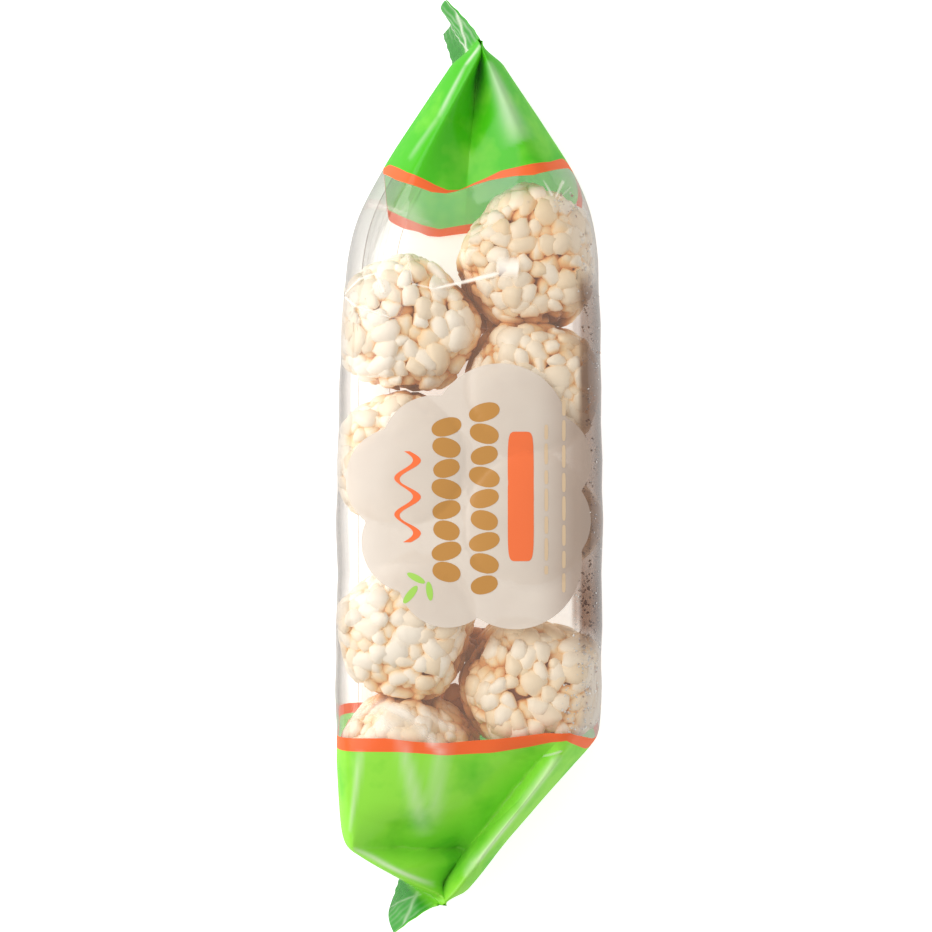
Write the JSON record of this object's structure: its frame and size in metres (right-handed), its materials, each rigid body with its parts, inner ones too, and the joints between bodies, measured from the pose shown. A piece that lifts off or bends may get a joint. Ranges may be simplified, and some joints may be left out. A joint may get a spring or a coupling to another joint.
{
  "type": "packet of puffed rice cakes",
  "caption": "Sealed clear film packet with bright green folded ends, filled with round puffed rice cakes, lying on its back.",
  "frame": {"origin": "centre of the underside of the packet's bounding box, on the surface it lies on", "axes": "+Y along the packet, towards the pointed end with both sides folded alike; +Z out of the printed front, which faces up; +X to the right of someone who looks down on the front with +Y up"},
  "size_m": [0.0636, 0.2148, 0.0406],
  "materials": {
    "film": "clear glossy packaging film with printed ends",
    "rice": "dry matt puffed rice, held by clear syrup"
  },
  "bodies": {
    "root": {"film_packet": "film"}
  },
  "joints": []
}
